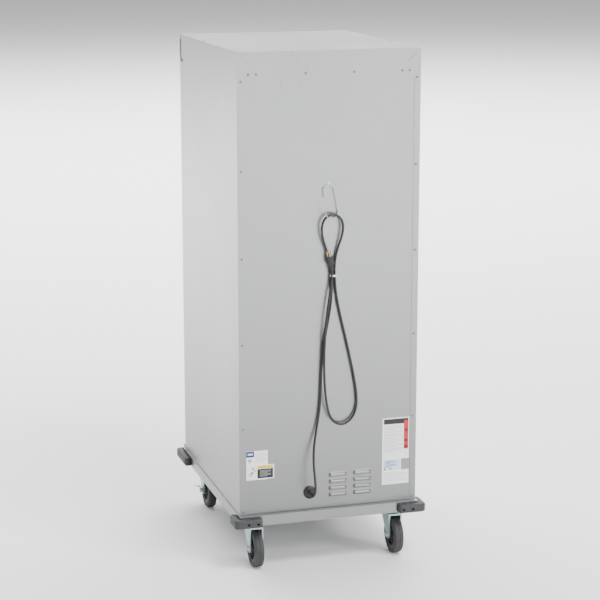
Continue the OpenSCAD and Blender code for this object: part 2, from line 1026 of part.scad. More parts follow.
module strain_relief() {
    color("black")
    difference() {
        union() {
            along_y([gland[0], rear_y - 10, gland[1]], 10.8, 12);
            along_y([gland[0], rear_y, gland[1]], 22, 5);
            translate([gland[0], rear_y + 5, gland[1]])
            rotate([-90, 0, 0])
            cylinder(h = 3, r1 = 22, r2 = 16);
            translate([gland[0], rear_y + 8, gland[1]])
            rotate([-90, 0, 0])
            cylinder(h = boot_y - rear_y - 8, r1 = 11, r2 = 6.5);
            along_y([gland[0], rear_y - sheet - 5.2, gland[1]], 16, 5);
        }
        // blind socket for the cord's core
        along_y([gland[0], rear_y - 12, gland[1]], 3, 14);
    }
}

module power_cord() {
    color([0.08, 0.08, 0.08])
    sweep(smooth(route, 2), cord_r, 10);
}

module at_plug() {
    translate(plug_foot)
    rotate([0, plug_tilt, 0])
    children();
}

module cord_plug() {
    color([0.08, 0.08, 0.08])
    at_plug() {
        cylinder(h = 20, r1 = 6, r2 = 8.4);
        translate([-12, -9, 18])
        cube([24, 18, 28]);
    }
}

module plug_blades() {
    color("goldenrod")
    at_plug() {
        for (s = [-1, 1])
            translate([s * 6.35 - 0.75, -6.2, 46])
            cube([1.5, 6.3, 17]);
        translate([0, 5, 46])
        cylinder(h = 20, r = 2.4, $fn = 24);
    }
}

// Band round the three strands below the plug
module cord_tie() {
    color("white")
    translate([0, 0, tie_z - 4])
    linear_extrude(height = 8)
    difference() {
        tie_outline(cord_r + 2.2);
        tie_outline(cord_r + 0.7);
    }
}

module tie_outline(r) {
    hull()
    for (p = tie_strands)
        translate(p)
        circle(r = r, $fn = 32);
}

// ---- Casters ----

module caster_plates() {
    color("lightsteelblue")
    for (sx = [-1, 1], sy = [-1, 1])
        translate([sx * caster_x, sy * caster_y, 0]) {
            difference() {
                box([-50, -43, caster_h - plate_t], [50, 43, caster_h]);
                for (bx = [-38, 38], by = [-32, 32])
                    translate([bx, by, caster_h - plate_t - cut])
                    cylinder(h = plate_t + 2 * cut, r = 4.5, $fn = 24);
            }
            translate([0, 0, head_z + 0.3])
            cylinder(h = 10, r = 33);
            translate([0, 0, crown_z - 7])
            cylinder(h = 20, r = kingpin_r);
            translate([0, 0, crown_z - 7])
            cylinder(h = 6.6, r = 10, $fn = 6);
        }
}

// Bolts up through the caster plates and the base, each with its nut
module caster_bolts() {
    at_caster_bolts(caster_h - plate_t - 5) {
        cylinder(h = 5, r = 6.5, $fn = 6);
        cylinder(h = 20, r = 4, $fn = 24);
        translate([0, 0, plate_t + 8])
        cylinder(h = 6, r = 6.5, $fn = 6);
    }
}

module at_caster(sx, sy) {
    translate([sx * caster_x, sy * caster_y, 0])
    children();
}

// Swivel head, crown and two arms that trail back to the axle
module fork(sx, sy) {
    color("lightsteelblue")
    at_caster(sx, sy)
    difference() {
        union() {
            translate([0, 0, crown_z])
            cylinder(h = head_z - crown_z, r = 31);
            box([-arm_in - arm_t, -24, crown_z], [arm_in + arm_t, 50, crown_z + 5]);
            mirrored_x()
            translate([arm_in, 0, 0])
            rotate([90, 0, 90])
            linear_extrude(height = arm_t)
            fork_arm();
        }
        translate([0, 0, crown_z - cut])
        cylinder(h = 40, r = kingpin_r + 0.08);
        along_x([-40, caster_trail, wheel_r], axle_r, 80);
    }
}

module fork_arm() {
    polygon([
        [-28, crown_z + 5], [-28, crown_z - 8], [caster_trail - 13, wheel_r - 5],
        [caster_trail + 13.5, wheel_r - 4], [50, crown_z - 8], [50, crown_z + 5]
    ]);
    translate([caster_trail, wheel_r])
    circle(r = 14);
}

module axle(sx, sy) {
    nut_in = sy < 0 ? 28 : arm_in + arm_t;
    color("gray")
    at_caster(sx, sy)
    mirror([sx > 0 ? 0 : 1, 0, 0])
    union() {
        along_x([-arm_in - arm_t - 5, caster_trail, wheel_r], axle_r, arm_in + arm_t + nut_in + 12);
        translate([-arm_in - arm_t - 6, caster_trail, wheel_r])
        rotate([0, 90, 0])
        cylinder(h = 6, r = 9, $fn = 6);
        translate([nut_in, caster_trail, wheel_r])
        rotate([0, 90, 0])
        cylinder(h = 8, r = 8.5, $fn = 6);
    }
}

tyre_in = 47;

module hub(sx, sy) {
    w = tyre_w / 2;
    color("dimgray")
    at_caster(sx, sy)
    translate([0, caster_trail, wheel_r])
    rotate([0, 90, 0])
    rotate_extrude()
    polygon([
        [axle_r + 0.08, -w - 1], [14, -w - 1], [14, -5], [38, -5], [38, -w + 2], [tyre_in, -w + 2],
        [tyre_in, w - 2], [38, w - 2], [38, 5], [14, 5], [14, w + 1], [axle_r + 0.08, w + 1]
    ]);
}

module tyre(sx, sy) {
    w = tyre_w / 2;
    edge = 5;
    color([0.25, 0.25, 0.26])
    at_caster(sx, sy)
    translate([0, caster_trail, wheel_r])
    rotate([0, 90, 0])
    rotate_extrude($fn = 72)
    union() {
        translate([tyre_in, -w])
        square([wheel_r - tyre_in - edge, tyre_w]);
        translate([tyre_in, -w + edge])
        square([wheel_r - tyre_in, tyre_w - 2 * edge]);
        for (s = [-1, 1])
            translate([wheel_r - edge, s * (w - edge)])
            circle(r = edge);
    }
}

// Side brake: a lever on the axle's end, with a foot tab that stands outwards
module brake(sx) {
    lever_in = arm_in + arm_t + 0.5;
    lever_t = 3;
    tip = caster_trail - 58;
    color("lightsteelblue")
    at_caster(sx, -1)
    mirror([sx > 0 ? 0 : 1, 0, 0])
    difference() {
        union() {
            along_x([lever_in, caster_trail, wheel_r], 13, lever_t);
            box([lever_in, tip, wheel_r - 8], [lever_in + lever_t, caster_trail, wheel_r + 6]);
            box([lever_in, tip, wheel_r + 3], [lever_in + 20, tip + 24, wheel_r + 6]);
        }
        along_x([lever_in - cut, caster_trail, wheel_r], axle_r + 0.06, lever_t + 2 * cut);
    }
}

base_frame();
side_panel_right();
side_panel_left();
rear_panel();
top_panel();
front_frame();
liner_panels();
insulation_boards();
heater_module();
heating_elements();
blower_motor();
blower_scroll();
blower_wheel();
air_duct();
water_pan();
electrical_parts();
control_fascia();
indicator_lenses();
temperature_knob();
humidity_knob();
power_rocker();
door_frame();
door_window();
door_gasket();
door_pull();
hinge_brackets();
hinge_pins();
hinge_bushes();
magnet_catches();
catch_plates();
rack_uprights();
pan_slides();
body_fasteners();
label_plates();
corner_bumpers();
cord_hook();
strain_relief();
power_cord();
cord_plug();
plug_blades();
cord_tie();
caster_plates();
fork(1, 1);  // rear_right_fork
axle(1, 1);  // rear_right_axle
hub(1, 1);  // rear_right_hub
tyre(1, 1);  // rear_right_tyre
fork(-1, 1);  // rear_left_fork
axle(-1, 1);  // rear_left_axle
hub(-1, 1);  // rear_left_hub
tyre(-1, 1);  // rear_left_tyre
fork(1, -1);  // front_right_fork
axle(1, -1);  // front_right_axle
hub(1, -1);  // front_right_hub
tyre(1, -1);  // front_right_tyre
fork(-1, -1);  // front_left_fork
axle(-1, -1);  // front_left_axle
hub(-1, -1);  // front_left_hub
tyre(-1, -1);  // front_left_tyre
brake(1);  // front_right_brake
brake(-1);  // front_left_brake
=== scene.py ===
import json
import math

import bmesh
import bpy
from mathutils import Matrix, Vector


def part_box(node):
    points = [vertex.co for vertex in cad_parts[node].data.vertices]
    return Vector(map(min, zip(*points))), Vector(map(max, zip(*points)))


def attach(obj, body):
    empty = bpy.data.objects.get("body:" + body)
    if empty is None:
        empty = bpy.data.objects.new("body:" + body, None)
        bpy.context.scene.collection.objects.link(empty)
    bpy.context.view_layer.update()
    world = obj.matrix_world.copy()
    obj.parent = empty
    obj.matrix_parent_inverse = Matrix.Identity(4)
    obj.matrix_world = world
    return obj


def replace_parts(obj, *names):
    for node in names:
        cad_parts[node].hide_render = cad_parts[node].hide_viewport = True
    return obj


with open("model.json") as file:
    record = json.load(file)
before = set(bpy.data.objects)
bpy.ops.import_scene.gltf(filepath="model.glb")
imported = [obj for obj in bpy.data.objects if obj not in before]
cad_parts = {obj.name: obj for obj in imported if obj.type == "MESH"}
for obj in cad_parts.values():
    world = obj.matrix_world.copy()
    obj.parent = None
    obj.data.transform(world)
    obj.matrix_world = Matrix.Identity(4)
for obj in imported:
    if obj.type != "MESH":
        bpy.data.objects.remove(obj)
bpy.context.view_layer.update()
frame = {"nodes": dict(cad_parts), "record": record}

MM = 0.001

# ---- Places taken from the frame ----

rear_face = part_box("rear_panel")[0].y + 1.2 * MM     # outer face of the rear sheet
side_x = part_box("side_panel_right")[1].x
end_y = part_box("side_panel_right")[1].y
top_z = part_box("top_panel")[1].z
fascia_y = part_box("control_fascia")[0].y
gland_low, gland_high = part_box("strain_relief")
gland_centre = (gland_low + gland_high) / 2

# ---- Camera ----

camera = bpy.data.objects.new("camera", bpy.data.cameras.new("camera"))
bpy.context.scene.collection.objects.link(camera)
camera.location = (1.788, 6.030, 2.226)
camera.rotation_euler = (math.radians(90 - 12.54), 0, math.radians(180 - 16.67))
camera.data.lens = 110.4
camera.data.sensor_width = 36
bpy.context.scene.camera = camera


# ---- Node helpers ----

class Look:
    """A material with its Principled shader, and short calls that add nodes to it."""

    def __init__(self, name, color, roughness, metallic=0.0, **sockets):
        self.material = bpy.data.materials.new(name)
        self.material.use_nodes = True
        self.tree = self.material.node_tree
        self.shader = self.tree.nodes["Principled BSDF"]
        self.color = color
        self.roughness = roughness
        self.place = self.add("ShaderNodeTexCoord").outputs["Object"]
        self.shader.inputs["Base Color"].default_value = (*color, 1)
        self.shader.inputs["Roughness"].default_value = roughness
        self.shader.inputs["Metallic"].default_value = metallic
        for socket, value in sockets.items():
            self.shader.inputs[socket.replace("_", " ")].default_value = value

    def add(self, kind, **inputs):
        node = self.tree.nodes.new(kind)
        for socket, value in inputs.items():
            node.inputs[socket.replace("_", " ")].default_value = value
        return node

    def link(self, output, target):
        self.tree.links.new(output, target)

    def stretched(self, scale):
        """Object coordinates scaled by a different factor along each axis."""
        mapping = self.add("ShaderNodeMapping", Scale=scale)
        self.link(self.place, mapping.inputs["Vector"])
        return mapping.outputs["Vector"]

    def noise(self, scale=(1, 1, 1), size=1.0, detail=4.0, rough=0.55):
        node = self.add("ShaderNodeTexNoise", Scale=size, Detail=detail, Roughness=rough)
        self.link(self.stretched(scale), node.inputs["Vector"])
        return node.outputs["Fac"]

    def height(self, low, high, waver, share=0.12):
        """Rises from 0 to 1 between two heights, wavering a little with another value."""
        axes = self.add("ShaderNodeSeparateXYZ")
        self.link(self.place, axes.inputs["Vector"])
        rise = self.spread(axes.outputs["Z"], 0.0, 1.0 - share, low, high)
        blend = self.add("ShaderNodeMath")
        blend.operation = "MULTIPLY_ADD"
        self.link(waver, blend.inputs[0])
        blend.inputs[1].default_value = share
        self.link(rise, blend.inputs[2])
        return blend.outputs["Value"]

    def upward(self, amount):
        """Rises to the amount where the surface faces up."""
        facing = self.add("ShaderNodeNewGeometry")
        axes = self.add("ShaderNodeSeparateXYZ")
        self.link(facing.outputs["Normal"], axes.inputs["Vector"])
        return self.spread(axes.outputs["Z"], 0.0, amount, 0.6, 1.0)

    def spread(self, value, low, high, start=0.3, end=0.7):
        """Maps a noise value to the range low to high."""
        node = self.add("ShaderNodeMapRange")
        node.inputs["From Min"].default_value = start
        node.inputs["From Max"].default_value = end
        node.inputs["To Min"].default_value = low
        node.inputs["To Max"].default_value = high
        self.link(value, node.inputs["Value"])
        return node.outputs["Result"]

    def tint(self, value, first, second, start=0.3, end=0.7):
        """Drives the base colour between two colours."""
        ramp = self.add("ShaderNodeValToRGB")
        ramp.color_ramp.elements[0].position = start
        ramp.color_ramp.elements[0].color = (*first, 1)
        ramp.color_ramp.elements[1].position = end
        ramp.color_ramp.elements[1].color = (*second, 1)
        self.link(value, ramp.inputs["Fac"])
        self.link(ramp.outputs["Color"], self.shader.inputs["Base Color"])
        return ramp

    def vary_roughness(self, value, low, high, start=0.3, end=0.7):
        self.link(self.spread(value, low, high, start, end), self.shader.inputs["Roughness"])

    def bump(self, value, strength, distance):
        node = self.add("ShaderNodeBump", Strength=strength, Distance=distance)
        self.link(value, node.inputs["Height"])
        self.link(node.outputs["Normal"], self.shader.inputs["Normal"])

    def edge_wear(self, ramp, radius, color, strength):
        """Lightens the edges: where a rounded normal leaves the true one."""
        rounded = self.add("ShaderNodeBevel", Radius=radius)
        rounded.samples = 3
        true = self.add("ShaderNodeNewGeometry")
        angle = self.add("ShaderNodeVectorMath")
        angle.operation = "DOT_PRODUCT"
        self.link(rounded.outputs["Normal"], angle.inputs[0])
        self.link(true.outputs["Normal"], angle.inputs[1])
        worn = self.spread(angle.outputs["Value"], strength, 0.0, 0.72, 0.99)
        mix = self.add("ShaderNodeMix")
        mix.data_type = "RGBA"
        self.link(worn, mix.inputs["Factor"])
        self.link(ramp.outputs["Color"], mix.inputs[6])
        mix.inputs[7].default_value = (*color, 1)
        self.link(mix.outputs[2], self.shader.inputs["Base Color"])


def shade(color, factor):
    return tuple(min(1.0, c * factor) for c in color)


# ---- Materials ----

PAINTED_SHEEN_FROM, PAINTED_SHEEN_TO = 0.2, 1.75     # heights between which the painted reflection brightens the steel


def brushed_steel(name, color, roughness=0.32, grain=(1, 1, 0.02), polish=0.06, painted_sheen=None):
    """Stainless sheet: a long fine grain and soft smears. The sheen pair of factors, low and high
    on the cabinet, paints a reflection brighter towards the top; faces that look up take the low
    one, painted shade."""
    look = Look(name, color, roughness, metallic=1.0)
    fine = look.noise(grain, size=900, detail=3, rough=0.7)
    smears = look.noise((1, 1, 0.45), size=3.2, detail=5, rough=0.5)
    if painted_sheen:
        # Painted reflection: the base colour brightens with height. Painted shade: faces that look
        # up are darkened.
        rise = look.height(PAINTED_SHEEN_FROM, PAINTED_SHEEN_TO, smears)
        level = look.add("ShaderNodeMath")
        level.operation = "SUBTRACT"
        look.link(rise, level.inputs[0])
        look.link(look.upward(0.9), level.inputs[1])
        low, high = shade(color, painted_sheen[0]), shade(color, painted_sheen[1])
        look.tint(level.outputs["Value"], low, high, 0.05, 0.95)
    else:
        look.tint(smears, shade(color, 0.965), shade(color, 1.02))
    blend = look.add("ShaderNodeMath")
    blend.operation = "MULTIPLY_ADD"
    look.link(look.spread(fine, -polish, polish), blend.inputs[0])
    blend.inputs[1].default_value = 1.0
    look.link(look.spread(smears, roughness - 0.03, roughness + 0.03), blend.inputs[2])
    look.link(blend.outputs["Value"], look.shader.inputs["Roughness"])
    look.bump(fine, 0.05, 0.0002)
    return look.material


def zinc(name, color, roughness=0.36):
    """Zinc plate: small cloudy crystals, a drifting tint and bright edges."""
    look = Look(name, color, roughness, metallic=0.95)
    cloud = look.noise(size=38, detail=6, rough=0.6)
    ramp = look.tint(cloud, shade(color, 0.86), shade(color, 1.08))
    look.vary_roughness(cloud, roughness - 0.08, roughness + 0.12)
    look.edge_wear(ramp, 0.0015, (0.82, 0.84, 0.84), 0.5)
    look.bump(look.noise(size=420, detail=3), 0.12, 0.0002)
    return look.material


def moulded(name, color, roughness=0.5, grain=1400, depth=0.00012, wear=0.25):
    """Moulded plastic: a fine spark texture, faint flow marks and rubbed edges."""
    look = Look(name, color, roughness)
    flow = look.noise((1, 0.6, 1.4), size=16, detail=4)
    ramp = look.tint(flow, shade(color, 0.86), shade(color, 1.18))
    look.vary_roughness(flow, roughness - 0.07, roughness + 0.09)
    look.edge_wear(ramp, 0.0012, shade(color, 2.4), wear)
    look.bump(look.noise(size=grain, detail=2), 0.35, depth)
    return look.material


def rubber(name, color, roughness=0.62):
    """Rubber: matte with dust in its texture."""
    look = Look(name, color, roughness)
    dust = look.noise(size=60, detail=7, rough=0.65)
    look.tint(dust, color, shade(color, 1.55), 0.45, 0.8)
    look.vary_roughness(dust, roughness - 0.08, roughness + 0.14)
    look.bump(look.noise(size=900, detail=4), 0.3, 0.0002)
    return look.material


def cord_jacket(name, color):
    """The cord's jacket: smooth, with drawn-out streaks from extrusion."""
    look = Look(name, color, 0.42)
    streaks = look.noise((1, 1, 0.12), size=300, detail=3)
    look.tint(streaks, shade(color, 0.8), shade(color, 1.3))
    look.vary_roughness(streaks, 0.34, 0.52)
    look.bump(streaks, 0.15, 0.0002)
    return look.material


def clear_pane(name):
    """Clear polycarbonate with faint wiping marks."""
    look = Look(name, (0.93, 0.97, 0.98), 0.04)
    look.shader.inputs["Transmission Weight"].default_value = 0.96
    look.shader.inputs["IOR"].default_value = 1.1
    wipes = look.noise((1, 1, 0.3), size=24, detail=6)
    look.vary_roughness(wipes, 0.02, 0.09)
    look.bump(look.noise(size=2.5, detail=1), 0.05, 0.002)
    return look.material


def gloss(name, color, glow=0.0):
    """Glossy lens plastic, lit a little from inside where glow is set."""
    look = Look(name, color, 0.12)
    look.shader.inputs["Coat Weight"].default_value = 0.6
    if glow:
        look.shader.inputs["Emission Color"].default_value = (*color, 1)
        look.shader.inputs["Emission Strength"].default_value = glow
    swirl = look.noise(size=70, detail=3)
    look.tint(swirl, shade(color, 0.85), shade(color, 1.15))
    look.vary_roughness(swirl, 0.08, 0.2)
    look.bump(look.noise(size=220, detail=2), 0.05, 0.0001)
    return look.material


def film(name, color):
    """Printed label film: faintly uneven ink under a satin coat."""
    look = Look(name, color, 0.38)
    ink = look.noise(size=120, detail=5)
    look.tint(ink, shade(color, 0.95), shade(color, 1.03))
    look.vary_roughness(ink, 0.32, 0.46)
    look.bump(look.noise(size=40, detail=2), 0.08, 0.0002)
    return look.material


def fibre_board(name, color):
    """Rigid insulation: matted fibres."""
    look = Look(name, color, 0.9)
    fibres = look.noise((1, 3, 1), size=180, detail=8, rough=0.7)
    look.tint(fibres, shade(color, 0.7), shade(color, 1.2))
    look.bump(fibres, 0.8, 0.001)
    return look.material


def heat_tinted(name, color):
    """Steel sheath of a heating element, straw and blue in places."""
    look = Look(name, color, 0.42, metallic=0.9)
    tint = look.noise(size=9, detail=4)
    look.tint(tint, (0.24, 0.20, 0.15), (0.20, 0.22, 0.28), 0.35, 0.65)
    look.vary_roughness(tint, 0.32, 0.55)
    look.bump(look.noise(size=500, detail=3), 0.2, 0.0002)
    return look.material


STEEL = (0.40, 0.405, 0.41)
looks = {
    # painted reflection brighter towards the top, painted shade on faces that look up
    "brushed_panel": brushed_steel("brushed_panel", STEEL, painted_sheen=(0.62, 1.3)),
    "satin_steel": brushed_steel("satin_steel", shade(STEEL, 0.72), 0.34, (0.02, 0.02, 1)),
    "liner_steel": brushed_steel("liner_steel", (0.68, 0.685, 0.69), 0.38, (1, 0.02, 1)),
    "insulation": fibre_board("insulation", (0.74, 0.66, 0.42)),
    "element_steel": heat_tinted("element_steel", (0.30, 0.28, 0.27)),
    "motor_enamel": moulded("motor_enamel", (0.10, 0.11, 0.13), 0.35),
    "board_green": moulded("board_green", (0.05, 0.18, 0.09), 0.5),
    "black_plastic": moulded("black_plastic", (0.014, 0.014, 0.015), 0.5, wear=0.1),
    "knob_plastic": moulded("knob_plastic", (0.03, 0.03, 0.032), 0.3),
    "red_lens": gloss("red_lens", (0.55, 0.03, 0.02), 0.4),
    "clear_pane": clear_pane("clear_pane"),
    "gasket_rubber": rubber("gasket_rubber", (0.03, 0.03, 0.03)),
    "zinc_plate": zinc("zinc_plate", (0.66, 0.68, 0.70)),
    "caster_zinc": zinc("caster_zinc", (0.46, 0.60, 0.60)),
    "hub_grey": moulded("hub_grey", (0.045, 0.047, 0.05), 0.5),
    "tyre_grey": rubber("tyre_grey", (0.030, 0.031, 0.033)),
    "white_plastic": moulded("white_plastic", (0.80, 0.80, 0.79), 0.45, wear=0.05),
    "slide_aluminium": brushed_steel("slide_aluminium", (0.78, 0.79, 0.80), 0.3, (1, 0.02, 1)),
    "rivet_steel": brushed_steel("rivet_steel", (0.20, 0.205, 0.21), 0.45),
    "label_film": film("label_film", (0.84, 0.85, 0.86)),
    "ink_dark": film("ink_dark", (0.008, 0.008, 0.01)),
    "ink_grey": film("ink_grey", (0.38, 0.39, 0.40)),
    "ink_red": film("ink_red", (0.50, 0.02, 0.02)),
    "ink_dark_red": film("ink_dark_red", (0.14, 0.01, 0.015)),
    "ink_yellow": film("ink_yellow", (0.72, 0.50, 0.02)),
    "ink_blue": film("ink_blue", (0.012, 0.035, 0.19)),
    "ink_pale_blue": film("ink_pale_blue", (0.62, 0.70, 0.86)),
    "bumper_plastic": moulded("bumper_plastic", (0.034, 0.036, 0.039), 0.6, 900, 0.0003),
    "bright_wire": brushed_steel("bright_wire", (0.42, 0.425, 0.43), 0.14, (1, 1, 0.05)),
    "cord_rubber": cord_jacket("cord_rubber", (0.012, 0.012, 0.013)),
    "brass_blades": zinc("brass_blades", (0.72, 0.52, 0.22), 0.28),
}

for row in frame["record"]["subparts"]:
    node = frame["nodes"][row["node"]]
    node.data.materials.clear()
    node.data.materials.append(looks[row["material_slot"]])


# Looks that are a shade of one of the record's slots
RECORD_SLOTS = {name: "label_film" for name in looks if name.startswith("ink_")}
RECORD_SLOTS["rivet_steel"] = "satin_steel"


# ---- Mesh helpers ----

def piece(name, source, body, slot):
    """Makes a shown piece from a bmesh, smooth-shaded, riding on a body."""
    data = bpy.data.meshes.new(name)
    source.to_mesh(data)
    source.free()
    data.shade_smooth()
    data.set_sharp_from_angle(angle=math.radians(38))
    thing = bpy.data.objects.new(name, data)
    bpy.context.scene.collection.objects.link(thing)
    data.materials.append(looks[slot])
    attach(thing, body)
    return thing


def soften(thing, width, segments=2, angle=35):
    """Rounds the sharp edges of a piece or a CAD node with a modifier."""
    bevel = thing.modifiers.new("edge", "BEVEL")
    bevel.width = width
    bevel.segments = segments
    bevel.limit_method = "ANGLE"
    bevel.angle_limit = math.radians(angle)
    bevel.harden_normals = True
    return thing


def lathe(source, profile, at, axis="Z", steps=48):
    """Adds a turned solid: profile is a list of (radius, height) along the axis."""
    turn = {
        "X": Matrix.Rotation(math.radians(90), 4, "Y"),
        "Y": Matrix.Rotation(math.radians(-90), 4, "X"),
        "Z": Matrix.Identity(4),
    }[axis]
    place = Matrix.Translation(at) @ turn
    rings = []
    for radius, height in profile:
        ring = []
        for k in range(steps):
            angle = 2 * math.pi * k / steps
            spot = Vector((radius * math.cos(angle), radius * math.sin(angle), height))
            ring.append(source.verts.new(place @ spot))
        rings.append(ring)
    for low, high in zip(rings, rings[1:]):
        for k in range(steps):
            n = (k + 1) % steps
            source.faces.new((low[k], low[n], high[n], high[k]))
    source.faces.new(reversed(rings[0]))
    source.faces.new(rings[-1])


def plate(source, low, high):
    """Adds a box from its low corner to its high corner."""
    made = bmesh.ops.create_cube(source, size=1)
    size = Vector(high) - Vector(low)
    middle = (Vector(high) + Vector(low)) / 2
    for vert in made["verts"]:
        vert.co = middle + Vector(c * s for c, s in zip(vert.co, size))


def smooth_route(points, steps):
    """Cubic B-spline guided by the points, from the first to the last, as in the CAD."""
    spots = [Vector(p) for p in points]
    led = [2 * spots[0] - spots[1], *spots, 2 * spots[-1] - spots[-2]]
    made = []
    for a, b, c, d in zip(led, led[1:], led[2:], led[3:]):
        for k in range(steps):
            t = k / steps
            made.append(
                (a + 4 * b + c + 3 * (c - a) * t + 3 * (a - 2 * b + c) * t ** 2
                 + (3 * b - a - 3 * c + d) * t ** 3) / 6
            )
    made.append(spots[-1])
    return made


def tube(name, points, radius, body, slot, resolution=6):
    """A round bar or cord along the points."""
    data = bpy.data.curves.new(name, "CURVE")
    data.dimensions = "3D"
    data.bevel_depth = radius
    data.bevel_resolution = resolution
    data.use_fill_caps = True
    spline = data.splines.new("POLY")
    spline.points.add(len(points) - 1)
    for spot, target in zip(points, spline.points):
        target.co = (*spot, 1)
    thing = bpy.data.objects.new(name, data)
    bpy.context.scene.collection.objects.link(thing)
    data.materials.append(looks[slot])
    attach(thing, body)
    return thing


def millimetres(points):
    return [tuple(v * MM for v in p) for p in points]


# ---- Mains cord ----

boot_mouth = gland_high.y
cord_diameter = 0.008
cord_route = [(0.066, boot_mouth, 0.254)] + millimetres([
    (66, 430, 254), (66, 455, 264), (67, 466, 291), (68, 459, 325),
    (67, 439, 365), (60, 418, 420), (45, 403, 480), (33, 402, 550), (31, 402, 640),
    (26, 402, 730), (11, 402, 820), (-7, 401, 910), (-6, 401, 990), (4, 401, 1050),
    (18, 406, 1095), (31, 410, 1130), (33, 413, 1164), (22, 414, 1191), (-5, 413, 1202),
    (-32, 412, 1191), (-43, 411, 1164), (-40, 410, 1130), (-28, 405, 1095), (-16, 401, 1050),
    (-15, 401, 990), (-23, 402, 910), (-48, 402, 810), (-74, 402, 700), (-92, 402, 610),
    (-98, 402, 545), (-80, 404, 500), (-42, 407, 480), (-4, 411, 500), (14, 415, 550),
    (24, 417, 640), (24, 416, 740), (18, 415, 840), (5, 413, 930), (-5, 412, 980),
    (-3, 414, 1016),
])
plug_foot = Vector(cord_route[-1])
plug_tilt = math.radians(10)


def mains_cord():
    points = smooth_route(cord_route, 8)
    cord = tube("mains_cord", points, cord_diameter / 2, "cabinet", "cord_rubber")
    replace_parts(cord, "power_cord")
    return cord, sum((b - a).length for a, b in zip(points, points[1:]))


def mains_plug():
    """Moulded plug: a neck with flex rings that swells into a gripped body."""
    source = bmesh.new()
    lathe(source, [
        (0.0058, 0.0), (0.0064, 0.001), (0.0064, 0.003), (0.0058, 0.004), (0.0066, 0.005),
        (0.0066, 0.007), (0.006, 0.008), (0.007, 0.009), (0.007, 0.012), (0.0076, 0.020),
    ], (0, 0, 0), steps=32)
    outline = [(0.0085, 0.017), (0.0105, 0.021), (0.0122, 0.027), (0.0112, 0.032),
               (0.0104, 0.037), (0.0114, 0.042), (0.0118, 0.046)]
    sides, square = 32, 0.55         # facets round the body, and how square it is
    widest, half_depth = 0.0122, 0.0092
    rings = []
    for half, height in outline:
        ring = []
        for k in range(sides):
            angle = 2 * math.pi * k / sides
            c, s = math.cos(angle), math.sin(angle)
            x = half * math.copysign(abs(c) ** square, c)
            y = half_depth * math.copysign(abs(s) ** square, s) * (0.86 + 0.14 * half / widest)
            ring.append(source.verts.new((x, y, height)))
        rings.append(ring)
    for low, high in zip(rings, rings[1:]):
        for k in range(sides):
            n = (k + 1) % sides
            source.faces.new((low[k], low[n], high[n], high[k]))
    source.faces.new(reversed(rings[0]))
    source.faces.new(rings[-1])
    place = Matrix.Translation(plug_foot) @ Matrix.Rotation(plug_tilt, 4, "Y")
    bmesh.ops.transform(source, matrix=place, verts=source.verts)
    plug = piece("moulded_plug", source, "cabinet", "cord_rubber")
    soften(plug, 0.0008)
    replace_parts(plug, "cord_plug")
    return plug


def tie_band():
    """White twist tie: two flat turns round the strands."""
    low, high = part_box("cord_tie")
    middle = (low + high) / 2
    half_x = (high.x - low.x) / 2 - 0.0012
    half_y = (high.y - low.y) / 2 - 0.0012
    source = bmesh.new()
    steps = 96
    rows = []
    for k in range(steps + 1):
        angle = 4 * math.pi * k / steps
        rise = 0.0032 * (k / steps - 0.5) * 2
        x = middle.x + half_x * math.cos(angle)
        y = middle.y + half_y * math.sin(angle)
        rows.append([
            source.verts.new((x, y, middle.z + rise - 0.0014)),
            source.verts.new((x, y, middle.z + rise + 0.0014)),
        ])
    for a, b in zip(rows, rows[1:]):
        source.faces.new((a[0], b[0], b[1], a[1]))
    tie = piece("tie_band", source, "cabinet", "white_plastic")
    solid = tie.modifiers.new("thickness", "SOLIDIFY")
    solid.thickness = 0.0009
    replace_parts(tie, "cord_tie")
    return tie


cord, cord_length = mains_cord()
plug = mains_plug()
tie = tie_band()


# ---- Rear of the cabinet ----

def hook():
    """Bent bright wire under its screw."""
    points = smooth_route(millimetres([
        (21, 396, 1255), (23, 396, 1270), (26, 396, 1285), (15, 396, 1288), (4, 396, 1292),
        (-10, 396, 1288), (-13, 396, 1270), (-20, 396, 1235), (-27, 396, 1202), (-24, 400, 1194),
        (-14, 407, 1191), (-4, 414, 1191), (8, 422, 1192), (20, 431, 1193), (24, 434, 1205),
        (25, 434, 1218),
    ]), 6)
    wire = tube("hook_wire", points, 0.002, "cabinet", "bright_wire")
    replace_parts(wire, "cord_hook")


def strain_relief():
    """Bulkhead disc and a boot with flex rings."""
    source = bmesh.new()
    disc = [(0.0, 0.0), (0.0215, 0.0), (0.022, 0.0008), (0.022, 0.004), (0.021, 0.0052),
            (0.0165, 0.0072), (0.0155, 0.0084), (0.0112, 0.0086)]
    boot = []
    start, end = 0.0095, boot_mouth - rear_face
    rings = 5
    for i in range(rings):
        low = start + (end - start) * i / rings
        step = (end - start) / rings
        radius = 0.0112 - 0.0042 * i / rings
        boot += [(radius, low), (radius, low + 0.55 * step), (radius - 0.0012, low + 0.62 * step),
                 (radius - 0.0012, low + 0.92 * step)]
    profile = disc + boot + [(0.0058, end - 0.0002), (0.0045, end)]
    lathe(source, profile, (gland_centre.x, rear_face, gland_centre.z), axis="Y", steps=64)
    gland = piece("strain_relief_boot", source, "cabinet", "black_plastic")
    soften(gland, 0.0003)
    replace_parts(gland, "strain_relief")


louvre_columns = (-0.118, -0.032)
louvre_rows = (0.239, 0.262, 0.285, 0.308)
louvre_drop = 0.0065


def louvre_height(x, z):
    """How far the pressed sheet stands out at a place."""
    radius, half, depth = 0.0098, 0.033, 0.0075
    for column in louvre_columns:
        for row in louvre_rows:
            across = max(abs(x - column) - (half - radius), 0)
            reach = 1 - math.hypot(across, z - row) / radius
            if reach > 0 and z - row > -louvre_drop:
                rise = min(1, 1.25 * reach)
                return depth * rise * rise * (3 - 2 * rise)
    return 0.0


